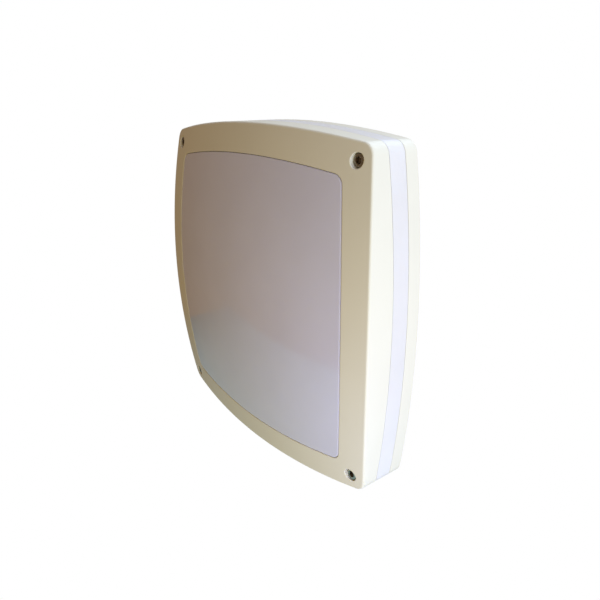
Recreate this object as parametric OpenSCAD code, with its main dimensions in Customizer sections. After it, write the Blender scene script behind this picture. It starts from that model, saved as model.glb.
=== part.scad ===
// Square bulkhead luminaire with a domed front: a cast rear housing, an opal diffuser whose
// edge shows as a light band all round, and a cast front bezel held by four captive screws.
// The wall is the XZ plane, the front faces -Y and the origin is the centre of the wall face.

/* [Outline] */
// Width and height, measured across the middle of the sides
body_w = 300; // [292:1:320]
// How far each side bows out beyond its corners
side_bow = 11.3; // [9:0.1:13]
// Radius of the four corners
corner_r = 11.2; // [10.5:0.1:14]
// Width of the bezel round the window, at the middle of the sides
frame_w = 25; // [24.5:0.1:28]
// How far each side of the window bows out
window_bow = 8.7; // [7:0.1:10]
// Radius of the window's corners
window_r = 9.7; // [8:0.1:12]
// Distance from the middle of the sides to the bezel screws
screw_inset = 23; // [22.5:0.1:24]

/* [Depths from the wall] */
// Height of the rear housing's rim
rim_h = 12.6; // [12:0.1:13.2]
// Height of the joint between the light band and the bezel
band_top = 29; // [28.5:0.1:30]
// Depth of the whole lamp at the middle of the dome
dome_h = 69; // [68.5:0.5:74]
// Radius of the domed front
dome_r = 753; // [740:1:900]

/* [Walls] */
// Thickness of the housing's back plate
back_t = 3; // [2.8:0.1:3.2]
// Thickness of the bezel
bezel_t = 3; // [2.6:0.1:3.2]
// Thickness of the opal diffuser
opal_t = 2.5; // [2:0.1:2.8]

/* [Light engine] */
// LEDs along each side of the square grid
led_count = 8; // [4:1:8]
// Distance between neighbouring LEDs
led_pitch = 20; // [14:1:20]

/* [Fixing] */
// Distance between the wall screw holes, side to side
wall_hole_x = 230; // [226:1:234]
// Distance between the wall screw holes, top to bottom
wall_hole_z = 120; // [60:1:160]
// Diameter of the wall screw holes
wall_hole_d = 5.5; // [4.5:0.1:6.5]
// Diameter of the cable that the rear grommet takes
cable_d = 8; // [6:0.1:9]

/* [Hidden] */
$fn = 48;
dome_fn = 256;
eps = 0.5;

// Arc segments along a side and round a corner
side_steps = 20;
corner_steps = 8;

// Half widths that follow from the outline, and a height clear of the whole lamp
body_half = body_w / 2;
window_half = body_half - frame_w;
screw_at = body_half - screw_inset;
clear_h = dome_h + 5;

// Gaps between pieces
joint_gap = 0.3;
seal_gap = 0.1;
window_gap = 0.5;

// Rim with its gasket groove, as insets from the outline
rim_inset = 5.6;
groove_in = 1.2;
groove_out = 4;
groove_floor = rim_h - 3.5;
gasket_t = 1.9;
gasket_top = groove_floor + gasket_t;

// M6 captive screw, 25 mm long with a 5 mm socket
screw_r = 2.95;
screw_head_r = 5;
screw_head_h = 6;
screw_len = 25;
screw_tip = 1;
socket_af = 5;
socket_depth = 3;
head_bevel = 0.5;
clearance_r = 3.3;
running_r = 3;

// Diffuser: tongue, light band, ledge under the bezel, locating rib and domed front
band_t = 3.5;
tongue_in = 1.5;
ledge_t = 2.5;
band_bottom = rim_h + joint_gap;
band_face = band_top - joint_gap / 2;
ledge_bottom = band_face - ledge_t;
rib_h = 3;
rib_t = 2;
opal_proud = 0.5;

// Screw seals under the ledge and the housing's pillars below them
seal_t = 1.5;
seal_r = 5.5;
pillar_r = 6;
pillar_h = ledge_bottom - seal_t - joint_gap;
thread_floor = 8;

// Bezel: bosses with counterbores and the lip round the window
bezel_bottom = band_top + joint_gap / 2;
boss_r = 7.8;
head_seat = 39.5;
head_bore_r = 5.5;
lip_t = 2;
lip_drop = 4;

// Bosses round the wall screw holes and the seals on them
seal_boss_r = 8;
seal_boss_h = 2;
seal_washer_r = 7;
seal_washer_t = 1.5;

// Gear tray on four pillars
tray_w = 200;
tray_h = 22;
tray_t = 1.2;
tray_lip = 6;
tray_r = 10;
tray_pillar_at = 92.5;
tray_pillar_r = 4.5;
tray_face = tray_h + tray_t;
tray_hole = [92, 30];
tray_hole_r = 5.5;
tray_bore_r = 3.8;

// LED board and its plug
led_board_w = 170;
pcb_t = 1.6;
led_face = tray_face + pcb_t;
led_size = [3.5, 2.8];
led_h = 0.8;
board_screw_at = 80;
plug_size = [8, 10];
plug_h = 4.4;
plug_at = [78, 30];
plug_wire_h = 27;

// Driver
driver_size = [120, 44];
driver_at = [0, 40];
driver_wall = 1.6;
case_top = 15;
cover_top = 19.2;
pcb_size = [112, 38];
pcb_bottom = 6.5;
pcb_top = pcb_bottom + pcb_t;
wire_hole_h = 12;
wire_hole_r = 1.4;
WIRE_HOLES = [[-60, 42], [-60, 34], [60, 44], [60, 36]];
EARS = [[-64.5, 28], [64.5, 28]];
ear_h = 6;
ear_t = 2;

// Mains terminal
terminal_at = [-30, -30];
terminal_size = [34, 20];
terminal_h = 13;
terminal_pitch = 11;
pole_row = 4;
bar_size = [6, 16];
bar_bottom = 5;
bar_top = 11;
pole_h = 8;
POLES = [for (i = [-1:1]) terminal_at + [i * terminal_pitch, 0]];
POLE_SCREWS = [for (p = POLES, s = [-1, 1]) p + [0, s * pole_row]];

// Cable entry, clamp and earth point
grommet_at = [45, -62];
grommet_seat_r = 8;
grommet_flange_r = 10.5;
grommet_flange_t = 1.5;
grommet_boss_h = 0.6;
grommet_recess = 1;
grommet_inset = 0.2;
clamp_at = [15, -62];
clamp_bar = [10, 30];
clamp_bar_t = 3;
clamp_post_h = 11;
CLAMP_POSTS = [clamp_at + [0, 11], clamp_at - [0, 11]];
earth_at = [-80, -35];
earth_boss_h = 6;
lug_t = 0.8;

// Machine screws: head radius, head height, shank radius, length
M4 = [3.8, 2.4, 1.95];
M3 = [2.8, 2, 1.45];
m4_hole_r = 2;
m3_hole_r = 1.5;
m4_clear_r = 2.2;
m3_clear_r = 1.7;

// Insulated wires and their routes, each point [across, up, depth]
wire_r = 1;
wire_sides = 8;
wire_steps = 2;
ROUTE_NEUTRAL = [
    [-30, -23, 8], [-30, -14, 8], [-36, -5, 8], [-56, 3, 10],
    [-72, 14, 11], [-74, 32, 12], [-66, 41, 12], [-56, 42, 12]
];
ROUTE_LIVE = [
    [-19, -23, 8], [-19, -12, 8], [-26, 1, 8], [-48, 9, 10],
    [-65, 16, 11], [-70, 26, 12], [-65, 33, 12], [-56, 34, 12]
];
ROUTE_EARTH = [
    [-41, -23, 8], [-41, -15, 8], [-47, -6, 9], [-60, -3, 10],
    [-74, -8, 9], [-80, -18, 8], [-80, -23, 8], [-80, -27, 8]
];
ROUTE_LED_PLUS = [
    [56, 44, 12], [68, 44, 12], [82, 41, 12], [91, 34, 17],
    [92, 32, 23], [90, 32, 27], [84, 32, 27], [79, 32, 27]
];
ROUTE_LED_MINUS = [
    [56, 36, 12], [68, 36, 12], [82, 34, 12], [91, 29, 17],
    [92, 28, 23], [90, 28, 27], [84, 28, 27], [79, 28, 27]
];

cream = [0.90, 0.86, 0.74];
opal = [0.93, 0.93, 0.95];
white_steel = [0.95, 0.95, 0.94];
steel = [0.62, 0.61, 0.58];
silicone = [0.80, 0.80, 0.78];
black_rubber = [0.10, 0.10, 0.10];
nylon = [0.92, 0.92, 0.88];
brass = [0.75, 0.62, 0.30];

// ---------- shapes ----------

// Radius and centre of the arc that forms the +X side of a bowed square
function side_radius(half, bow) = (pow(half - bow, 2) + pow(bow, 2)) / (2 * bow);
function side_centre(half, bow) = half - side_radius(half, bow);

// Centre of the corner arc, which lies on the diagonal and touches both side arcs
function corner_centre(half, bow, r) =
    let (o = side_centre(half, bow), reach = side_radius(half, bow) - r)
    (o + sqrt(2 * reach * reach - o * o)) / 2;

function on_arc(cx, cy, r, angle) = [cx + r * cos(angle), cy + r * sin(angle)];
function turned(p, angle) = [
    p.x * cos(angle) - p.y * sin(angle),
    p.x * sin(angle) + p.y * cos(angle)
];

// Bowed square with round corners, moved inwards by inset
function bowed_square(half, bow, r, inset) =
    let (
        o = side_centre(half, bow),
        side_r = side_radius(half, bow) - inset,
        c = corner_centre(half, bow, r),
        t = atan2(c, c - o),
        side = [for (i = [0:side_steps]) on_arc(o, 0, side_r, -t + 2 * t * i / side_steps)],
        corner = [for (i = [1:corner_steps - 1])
            on_arc(c, c, r - inset, t + (90 - 2 * t) * i / corner_steps)]
    )
    [for (q = [0:3]) each [for (p = concat(side, corner)) turned(p, 90 * q)]];

// The four corners of a rectangle, and the middles of a square's sides
function corners(x, y) = [[x, y], [-x, y], [-x, -y], [x, -y]];
function mid_sides(d) = [[d, 0], [0, d], [-d, 0], [0, -d]];

// Lamp coordinates are [across, up, depth]: this stands them up against the wall
module on_wall() {
    rotate([90, 0, 0]) children();
}

module slab(points, low, high) {
    translate([0, 0, low]) linear_extrude(high - low) polygon(points);
}

module body_slab(inset, low, high) {
    slab(bowed_square(body_half, side_bow, corner_r, inset), low, high);
}

module window_slab(inset, low, high) {
    slab(bowed_square(window_half, window_bow, window_r, inset), low, high);
}

// Ball whose top is the domed front, grown by more
module dome_ball(more) {
    translate([0, 0, dome_h - dome_r]) sphere(dome_r + more, $fn = dome_fn);
}

module rod(at, r, low, high) {
    translate([at.x, at.y, low]) cylinder(h = high - low, r = r);
}

module ring(at, r_out, r_in, low, high) {
    difference() {
        rod(at, r_out, low, high);
        rod(at, r_in, low - eps, high + eps);
    }
}

module block(at, size, low, high) {
    translate([at.x - size.x / 2, at.y - size.y / 2, low])
        cube([size.x, size.y, high - low]);
}

module rounded_plate(w, r, low, high) {
    steps = 6;
    slab([for (q = [0:3], i = [0:steps])
        turned(on_arc(w / 2 - r, w / 2 - r, r, 90 * i / steps), 90 * q)], low, high);
}

// Rod across the sheet, along +X or +Y
module rod_x(at, h, r, length) {
    translate([at.x, at.y, h]) rotate([0, 90, 0]) cylinder(h = length, r = r);
}

module rod_y(at, h, r, length) {
    translate([at.x, at.y, h]) rotate([-90, 0, 0]) cylinder(h = length, r = r);
}

// Cross-recess screw with its head on face and its shank towards the wall
module pan_screw(kind, length, at, face) {
    head_r = kind[0];
    head_h = kind[1];
    difference() {
        union() {
            rod(at, head_r, face, face + head_h * 0.6);
            translate([at.x, at.y, face + head_h * 0.6])
                cylinder(h = head_h * 0.4, r1 = head_r, r2 = head_r * 0.75);
            rod(at, kind[2], face - length, face + eps);
        }
        for (a = [0, 90])
            translate([at.x, at.y, face + head_h])
                rotate([0, 0, a])
                    cube([head_r * 1.1, head_r * 0.22, head_h], center = true);
    }
}

// ---------- rear housing and seals ----------

wall_holes = corners(wall_hole_x / 2, wall_hole_z / 2);
screw_points = corners(screw_at, screw_at);
tray_points = corners(tray_pillar_at, tray_pillar_at);
board_points = concat(corners(board_screw_at, board_screw_at), mid_sides(board_screw_at));

module rear_housing() {
    low = back_t - eps;
    color(cream) on_wall() difference() {
        union() {
            difference() {
                body_slab(0, 0, rim_h);
                body_slab(rim_inset, back_t, rim_h + eps);
            }
            for (at = screw_points) rod(at, pillar_r, low, pillar_h);
            for (at = tray_points) rod(at, tray_pillar_r, low, tray_h);
            for (at = wall_holes) rod(at, seal_boss_r, low, back_t + seal_boss_h);
            for (at = CLAMP_POSTS) rod(at, 3.5, low, clamp_post_h);
            for (at = EARS) rod(at, 3.5, low, ear_h);
            rod(earth_at, 5, low, earth_boss_h);
            rod(grommet_at, grommet_flange_r + 1, low, back_t + grommet_boss_h);
        }
        difference() {
            body_slab(groove_in, groove_floor, rim_h + eps);
            body_slab(groove_out, groove_floor - eps, rim_h + 2 * eps);
        }
        for (at = screw_points) rod(at, running_r, thread_floor, pillar_h + eps);
        for (at = tray_points) rod(at, m4_hole_r, back_t, tray_h + eps);
        for (at = wall_holes) rod(at, wall_hole_d / 2, -eps, clear_h);
        for (at = CLAMP_POSTS) rod(at, m3_hole_r, back_t, clamp_post_h + eps);
        for (at = EARS) rod(at, m3_hole_r, 2, ear_h + eps);
        rod(earth_at, m4_hole_r, 2, earth_boss_h + eps);
        rod(grommet_at, grommet_seat_r, -eps, clear_h);
        rod(grommet_at, grommet_flange_r + joint_gap, -eps, grommet_recess);
    }
}

module perimeter_gasket() {
    color(silicone) on_wall() difference() {
        body_slab(groove_in + seal_gap, groove_floor, gasket_top);
        body_slab(groove_out - seal_gap, groove_floor - eps, gasket_top + eps);
    }
}

module wall_screw_seals() {
    low = back_t + seal_boss_h;
    color(black_rubber) on_wall() for (at = wall_holes)
        ring(at, seal_washer_r, wall_hole_d / 2, low, low + seal_washer_t);
}

// ---------- cable entry, terminal and earth ----------

module cable_grommet() {
    top = back_t + grommet_boss_h;
    flange_top = top + grommet_flange_t;
    color(black_rubber) on_wall() difference() {
        union() {
            rod(grommet_at, grommet_seat_r - 0.02, eps, top + eps);
            rod(grommet_at, grommet_flange_r, grommet_inset, grommet_recess);
            rod(grommet_at, grommet_flange_r, top, flange_top);
            translate([grommet_at.x, grommet_at.y, flange_top - 0.01])
                cylinder(h = 5, r1 = 7, r2 = 5.2);
        }
        rod(grommet_at, cable_d / 2, -eps, clear_h);
    }
}

module cable_clamp() {
    top = clamp_post_h + clamp_bar_t;
    color(nylon) on_wall() difference() {
        union() {
            block(clamp_at, clamp_bar, clamp_post_h, top);
            block(clamp_at, [4, 12], clamp_post_h - 2, clamp_post_h + eps);
        }
        for (at = CLAMP_POSTS) rod(at, m3_clear_r, 0, top + eps);
    }
}

module cable_clamp_screws() {
    color(steel) on_wall() for (at = CLAMP_POSTS)
        pan_screw(M3, 9, at, clamp_post_h + clamp_bar_t);
}

module terminal_block() {
    top = back_t + terminal_h;
    tower_h = 2;
    pocket_gap = 0.1;
    color(nylon) on_wall() difference() {
        union() {
            block(terminal_at, terminal_size, back_t, top - tower_h);
            for (p = POLES) block(p, [9, terminal_size.y], top - tower_h - eps, top);
        }
        for (p = POLES) {
            block(p, [bar_size.x + 2 * pocket_gap, bar_size.y + 2 * pocket_gap],
                bar_bottom - pocket_gap, bar_top + pocket_gap);
            rod_y([p.x, p.y - terminal_size.y / 2 - eps], pole_h, 1.6, terminal_size.y + 2 * eps);
        }
        for (p = POLE_SCREWS) rod(p, 2.4, bar_top, top + eps);
    }
}

module terminal_bars() {
    color(brass) on_wall() for (p = POLES) difference() {
        block(p, bar_size, bar_bottom, bar_top);
        rod_y([p.x, p.y - bar_size.y / 2 - eps], pole_h, 1.6, bar_size.y + 2 * eps);
        for (s = [-1, 1]) rod([p.x, p.y + s * pole_row], m3_hole_r, pole_h, bar_top + eps);
    }
}

module terminal_screws() {
    head_bottom = bar_top + 0.8;
    head_top = head_bottom + 1.8;
    color(steel) on_wall() for (p = POLE_SCREWS) difference() {
        union() {
            rod(p, 2.2, head_bottom, head_top);
            rod(p, M3[2], bar_top - 2, head_bottom + eps);
        }
        translate([p.x, p.y, head_top]) cube([5, 0.7, 1.6], center = true);
    }
}

module earth_lug() {
    low = earth_boss_h;
    color([0.80, 0.80, 0.78]) on_wall() difference() {
        union() {
            rod(earth_at, 4.5, low, low + lug_t);
            block(earth_at + [0, 5], [3.6, 7], low, low + lug_t);
            rod_y(earth_at + [0, 7], pole_h, 1.95, 5);
        }
        rod(earth_at, m4_clear_r, low - eps, low + lug_t + eps);
        rod_y(earth_at + [0, 7.5], pole_h, 1.1, 6);
    }
}

module earth_screw() {
    color(brass) on_wall() pan_screw(M4, 4.4, earth_at, earth_boss_h + lug_t);
}

// ---------- driver ----------

module driver_shell(low, high, inside_low, inside_high) {
    difference() {
        block(driver_at, driver_size, low, high);
        block(driver_at, driver_size - 2 * [driver_wall, driver_wall], inside_low, inside_high);
    }
}

module driver_case() {
    color(white_steel) on_wall() difference() {
        union() {
            driver_shell(back_t, case_top, back_t + driver_wall, case_top + eps);
            for (at = corners(50, 14)) rod(driver_at + at, 2.5, back_t + 1, pcb_bottom);
            for (at = EARS) block(at, [11, 12], ear_h, ear_h + ear_t);
        }
        for (at = WIRE_HOLES) rod_x(at - [3, 0], wire_hole_h, wire_hole_r, 6);
        for (at = EARS) rod(at, m3_clear_r, ear_h - eps, ear_h + ear_t + eps);
        block(driver_at, driver_size - 2 * [driver_wall, driver_wall],
            pcb_bottom - eps, case_top + eps);
    }
}

module driver_cover() {
    color(white_steel) on_wall()
        driver_shell(case_top, cover_top, case_top - eps, cover_top - driver_wall);
}

module driver_board() {
    color([0.10, 0.40, 0.22]) on_wall() block(driver_at, pcb_size, pcb_bottom, pcb_top);
}

module driver_transformer() {
    at = driver_at + [8, 0];
    color([0.85, 0.72, 0.20]) on_wall() {
        block(at, [18, 14], pcb_top, pcb_top + 8.6);
        for (s = [-1, 1]) block(at + [s * 10, 0], [3, 20], pcb_top, pcb_top + 9);
    }
}

module driver_capacitors() {
    r = 4;
    h = pcb_top + r + 0.1;
    color([0.14, 0.16, 0.22]) on_wall() {
        rod_x(driver_at + [28, -10], h, r, 20);
        rod_x(driver_at + [28, 2], h, r, 20);
        rod_x(driver_at + [-30, 8], h, r, 16);
    }
}

module driver_small_parts() {
    color([0.30, 0.30, 0.32]) on_wall() {
        block(driver_at + [-40, -6], [12, 6], pcb_top, pcb_top + 8);
        block(driver_at + [-14, -6], [10, 12], pcb_top, pcb_top + 7);
        block(driver_at + [-28, -8], [4, 9], pcb_top, pcb_top + 6);
        block(driver_at + [38, 12], [10, 4], pcb_top, pcb_top + 5);
    }
}

module driver_screws() {
    color(steel) on_wall() for (at = EARS) pan_screw(M3, 5.5, at, ear_h + ear_t);
}

// ---------- gear tray and LEDs ----------

module gear_tray() {
    low = tray_h - tray_lip;
    color(white_steel) on_wall() difference() {
        rounded_plate(tray_w, tray_r, low, tray_face);
        rounded_plate(tray_w - 2 * tray_t, tray_r - tray_t, low - eps, tray_h);
        for (at = tray_points) rod(at, m4_clear_r, tray_h - eps, tray_face + eps);
        for (at = board_points) rod(at, m3_hole_r, tray_h - eps, tray_face + eps);
        rod(tray_hole, tray_hole_r, tray_h - eps, tray_face + eps);
    }
}

module tray_screws() {
    color(steel) on_wall() for (at = tray_points) pan_screw(M4, 10, at, tray_face);
}

module tray_grommet() {
    flange_r = tray_hole_r + 1.3;
    color(black_rubber) on_wall() difference() {
        union() {
            rod(tray_hole, tray_hole_r - 0.02, tray_h - eps, tray_face + eps);
            rod(tray_hole, flange_r, tray_h - 1, tray_h);
            rod(tray_hole, flange_r, tray_face, tray_face + 1);
        }
        rod(tray_hole, tray_bore_r, 0, clear_h);
    }
}

module led_board() {
    color([0.96, 0.96, 0.95]) on_wall() difference() {
        block([0, 0], [led_board_w, led_board_w], tray_face, led_face);
        for (at = board_points) rod(at, m3_clear_r, tray_face - eps, led_face + eps);
    }
}

module led_chips() {
    first = -(led_count - 1) * led_pitch / 2;
    color([0.96, 0.84, 0.30]) on_wall()
        for (i = [0:led_count - 1], j = [0:led_count - 1])
            block([first + i * led_pitch, first + j * led_pitch],
                led_size, led_face, led_face + led_h);
}

module led_board_screws() {
    color(steel) on_wall() for (at = board_points) pan_screw(M3, 5, at, led_face);
}

module led_connector() {
    color(nylon) on_wall() difference() {
        block(plug_at, plug_size, led_face, led_face + plug_h);
        for (s = [-1, 1]) rod_x(plug_at + [0, 2 * s], plug_wire_h, 1.3, 5);
    }
}

// ---------- wires ----------

// Smooth curve through the route's points
function route_point(p, i, u) =
    let (a = p[max(i - 1, 0)], b = p[i], c = p[i + 1], d = p[min(i + 2, len(p) - 1)])
    0.5 * (2 * b + (c - a) * u + (2 * a - 5 * b + 4 * c - d) * u * u
        + (3 * b - a - 3 * c + d) * u * u * u);
function smooth_route(p) = concat(
    [for (i = [0:len(p) - 2], k = [0:wire_steps - 1]) route_point(p, i, k / wire_steps)],
    [p[len(p) - 1]]
);
function unit(v) = v / norm(v);
function heading(c, i) = unit(c[min(i + 1, len(c) - 1)] - c[max(i - 1, 0)]);

// Carries a side direction along the curve without letting it spin
function square_to(v, t) = unit(v - (v * t) * t);
function sides(c, i, v) = i == len(c) ? [] :
    let (n = square_to(v, heading(c, i))) concat([n], sides(c, i + 1, n));

module wire(route) {
    c = smooth_route(route);
    n = sides(c, 0, [0.1, 0.2, 1]);
    points = [for (i = [0:len(c) - 1], k = [0:wire_sides - 1])
        let (b = cross(heading(c, i), n[i]), a = 360 * k / wire_sides)
        c[i] + wire_r * (cos(a) * n[i] + sin(a) * b)];
    last = (len(c) - 1) * wire_sides;
    walls = [for (i = [0:len(c) - 2], k = [0:wire_sides - 1])
        let (k2 = (k + 1) % wire_sides, a = i * wire_sides, b = a + wire_sides)
        each [[a + k, b + k, b + k2], [a + k, b + k2, a + k2]]];
    on_wall() polyhedron(points, concat(
        [[for (k = [0:wire_sides - 1]) k]],
        walls,
        [[for (k = [wire_sides - 1:-1:0]) last + k]]
    ));
}

module wire_live() { color([0.42, 0.22, 0.12]) wire(ROUTE_LIVE); }
module wire_neutral() { color([0.10, 0.28, 0.66]) wire(ROUTE_NEUTRAL); }
module wire_earth() { color([0.30, 0.60, 0.15]) wire(ROUTE_EARTH); }
module wire_led_plus() { color([0.78, 0.10, 0.08]) wire(ROUTE_LED_PLUS); }
module wire_led_minus() { color([0.08, 0.08, 0.08]) wire(ROUTE_LED_MINUS); }

// ---------- diffuser and screw seals ----------

module diffuser() {
    rib_in = bezel_t + joint_gap;
    color(opal) on_wall() difference() {
        union() {
            body_slab(tongue_in, gasket_top + 2 * seal_gap, band_bottom + eps);
            body_slab(0, band_bottom, band_face);
            difference() {
                body_slab(rib_in, band_face - eps, band_face + rib_h);
                body_slab(rib_in + rib_t, band_face - 2 * eps, band_face + rib_h + eps);
            }
            intersection() {
                window_slab(window_gap, band_face - eps, clear_h);
                dome_ball(opal_proud);
            }
        }
        body_slab(band_t, 0, ledge_bottom);
        intersection() {
            window_slab(window_gap + opal_t, ledge_bottom - eps, clear_h);
            dome_ball(opal_proud - opal_t);
        }
        for (at = screw_points) rod(at, clearance_r, ledge_bottom - eps, band_face + eps);
    }
}

module screw_seal(corner) {
    color(silicone) on_wall()
        ring(screw_points[corner - 1], seal_r, running_r, ledge_bottom - seal_t, ledge_bottom);
}

// ---------- bezel and its screws ----------

module front_bezel() {
    color(cream) on_wall() difference() {
        union() {
            difference() {
                intersection() {
                    body_slab(0, bezel_bottom, clear_h);
                    dome_ball(0);
                }
                intersection() {
                    body_slab(bezel_t, bezel_bottom - eps, clear_h);
                    dome_ball(-bezel_t);
                }
            }
            intersection() {
                for (at = screw_points) rod(at, boss_r, band_face, clear_h);
                dome_ball(-bezel_t / 2);
            }
            difference() {
                intersection() {
                    window_slab(-lip_t, bezel_bottom, clear_h);
                    dome_ball(-bezel_t / 2);
                }
                dome_ball(-bezel_t - lip_drop);
            }
        }
        window_slab(0, 0, clear_h);
        for (at = screw_points) {
            rod(at, clearance_r, 0, clear_h);
            rod(at, head_bore_r, head_seat, clear_h);
        }
    }
}

module bezel_screw(corner) {
    at = screw_points[corner - 1];
    top = head_seat + screw_head_h;
    tip = head_seat - screw_len;
    color(steel) on_wall() difference() {
        union() {
            rod(at, screw_head_r, head_seat, top - head_bevel);
            translate([at.x, at.y, top - head_bevel])
                cylinder(h = head_bevel, r1 = screw_head_r, r2 = screw_head_r - head_bevel);
            rod(at, screw_r, tip + screw_tip, head_seat + eps);
            translate([at.x, at.y, tip])
                cylinder(h = screw_tip, r1 = screw_r - 0.8, r2 = screw_r);
        }
        translate([at.x, at.y, top - socket_depth])
            cylinder(h = socket_depth + eps, d = socket_af / cos(30), $fn = 6);
    }
}

rear_housing();
perimeter_gasket();
wall_screw_seals();
cable_grommet();
cable_clamp();
cable_clamp_screws();
terminal_block();
terminal_bars();
terminal_screws();
earth_lug();
earth_screw();
driver_case();
driver_cover();
driver_board();
driver_transformer();
driver_capacitors();
driver_small_parts();
driver_screws();
gear_tray();
tray_screws();
tray_grommet();
led_board();
led_chips();
led_board_screws();
led_connector();
wire_live();
wire_neutral();
wire_earth();
wire_led_plus();
wire_led_minus();
diffuser();
front_bezel();
screw_seal(1);  // screw_seal_1
screw_seal(2);  // screw_seal_2
screw_seal(3);  // screw_seal_3
screw_seal(4);  // screw_seal_4
bezel_screw(1);  // bezel_screw_1
bezel_screw(2);  // bezel_screw_2
bezel_screw(3);  // bezel_screw_3
bezel_screw(4);  // bezel_screw_4
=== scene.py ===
"""Looks for the square bulkhead luminaire: smooth painted castings, opal front, steel screws."""
import math
from collections import namedtuple
from functools import partial

import bmesh
import bpy
import numpy as np
from mathutils import Matrix, Vector
from mathutils.geometry import delaunay_2d_cdt


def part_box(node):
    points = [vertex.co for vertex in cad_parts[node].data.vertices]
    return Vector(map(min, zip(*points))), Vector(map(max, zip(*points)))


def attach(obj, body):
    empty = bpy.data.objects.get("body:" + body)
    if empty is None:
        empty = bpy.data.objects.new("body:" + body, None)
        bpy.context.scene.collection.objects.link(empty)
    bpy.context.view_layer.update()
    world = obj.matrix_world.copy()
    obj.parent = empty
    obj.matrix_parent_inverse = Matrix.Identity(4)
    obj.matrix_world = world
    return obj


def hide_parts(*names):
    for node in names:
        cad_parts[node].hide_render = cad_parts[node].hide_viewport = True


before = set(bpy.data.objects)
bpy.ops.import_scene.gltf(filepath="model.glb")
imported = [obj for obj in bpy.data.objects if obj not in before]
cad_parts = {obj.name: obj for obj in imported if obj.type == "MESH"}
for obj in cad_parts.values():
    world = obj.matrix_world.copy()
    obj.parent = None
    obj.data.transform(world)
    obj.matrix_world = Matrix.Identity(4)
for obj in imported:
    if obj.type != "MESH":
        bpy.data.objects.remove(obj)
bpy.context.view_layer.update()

# ---------------------------------------------------------------- sizes, in millimetres
# Lamp coordinates are (across, up, depth from the wall), as in the CAD.
ACROSS, DEPTH = 0, 2
MM_PER_M = 1000

# half width of the body's outline, how far its sides bow out, and the radius of its corners
HALF, BOW, CORNER = 150.0, 11.3, 11.2
# the same three sizes of the window in the bezel
WIN_HALF, WIN_BOW, WIN_CORNER = 125.0, 8.7, 9.7
# depths of the housing's rim, both edges of the opal band, and the bezel's foot
RIM, JOINT_LOW, JOINT_HIGH, BEZEL_LOW = 12.6, 12.9, 28.85, 29.15
# depth of the domed face's middle, and its radius
DOME_H, DOME_R = 69.0, 753.0
# how far the opal front stands proud of the domed face in its middle
PROUD = 0.5
# bezel screws: distance from both middle lines, depth of the head's seat, height of the head
SCREW_AT, HEAD_SEAT, HEAD_HIGH = 127.0, 39.5, 6.0
SEAL_R = 5.5

# rounding of the edges that meet at the two seams round the side
SEAM_EDGE = 0.25
# a small rounded edge has one ring between its ends, this share of its radius from the corner
MIDWAY = 0.3
CHAMFER, FINE_CHAMFER = 0.3, 0.25
# usual width of the strip of faces beside a rounded edge, which keeps the shading even there
STRIP = 0.5


def four_places(across, up):
    """The same place in all four quarters, anticlockwise from the upper right."""
    return [(across, up), (-across, up), (-across, -up), (across, -up)]


SCREWS = four_places(SCREW_AT, SCREW_AT)


def to_metres(point):
    """The place in the shared frame of a point in lamp coordinates."""
    across, up, depth = point
    return across / MM_PER_M, -depth / MM_PER_M, up / MM_PER_M


def node_mm(name):
    """Lowest and highest (across, up, depth) of a CAD node."""
    low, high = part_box(name)
    return (
        np.array([low.x, low.z, -high.y]) * MM_PER_M,
        np.array([high.x, high.z, -low.y]) * MM_PER_M,
    )


def check_sizes():
    """Stops the script if the CAD has changed and the sizes above have not."""
    lowest, highest = 0, 1
    slack = 0.15
    for node, side, axis, expected in (
        ("front_bezel", highest, ACROSS, HALF),
        ("front_bezel", lowest, DEPTH, JOINT_HIGH),
        ("diffuser", highest, DEPTH, DOME_H + PROUD),
        ("bezel_screw_1", highest, DEPTH, HEAD_SEAT + HEAD_HIGH),
        ("screw_seal_1", lowest, ACROSS, SCREW_AT - SEAL_R),
    ):
        if abs(node_mm(node)[side][axis] - expected) > slack:
            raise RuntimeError(f"{node} no longer has the size that this script draws")


check_sizes()

# ---------------------------------------------------------------- outlines and surfaces
# A line is a closed loop of (across, up) points with their outward normals.


def bowed_square(half, bow, corner_r, inset, side_steps=44, corner_steps=14):
    """Line of a square with bowed sides and round corners, moved inwards by inset."""
    side_r = ((half - bow) ** 2 + bow**2) / (2 * bow)
    side_centre = half - side_r
    # the corner's circle touches the arcs of both sides from within
    diagonal = math.sqrt(2 * (side_r - corner_r) ** 2 - side_centre**2)
    corner_centre = (side_centre + diagonal) / 2
    meet = math.atan2(corner_centre, corner_centre - side_centre)
    side_angles = np.linspace(-meet, meet, side_steps + 1)
    corner_angles = np.linspace(meet, math.pi / 2 - meet, corner_steps + 1)[1:-1]
    stretches = (
        (side_centre, 0, side_r - inset, side_angles),
        (corner_centre, corner_centre, corner_r - inset, corner_angles),
    )
    points, normals = [], []
    for quarter in range(4):
        turn = math.pi / 2 * quarter
        for centre_x, centre_y, radius, angles in stretches:
            for angle in angles:
                x = centre_x + radius * math.cos(angle)
                y = centre_y + radius * math.sin(angle)
                turned_x = x * math.cos(turn) - y * math.sin(turn)
                turned_y = x * math.sin(turn) + y * math.cos(turn)
                points.append((turned_x, turned_y))
                normals.append((math.cos(angle + turn), math.sin(angle + turn)))
    return np.array(points), np.array(normals)


body_line = partial(bowed_square, HALF, BOW, CORNER)
window_line = partial(bowed_square, WIN_HALF, WIN_BOW, WIN_CORNER)


def directions(steps):
    """Unit vectors evenly round a circle."""
    angles = np.linspace(0, 2 * math.pi, steps, endpoint=False)
    return np.stack([np.cos(angles), np.sin(angles)], 1)


def circle(at, radius, steps=48):
    normals = directions(steps)
    return np.array(at) + radius * normals, normals


def dome(points, off=0.0):
    """Depth of the domed face, grown by off, at the given points."""
    points = np.asarray(points)
    return DOME_H - DOME_R + np.sqrt((DOME_R + off) ** 2 - (points**2).sum(-1))


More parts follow.
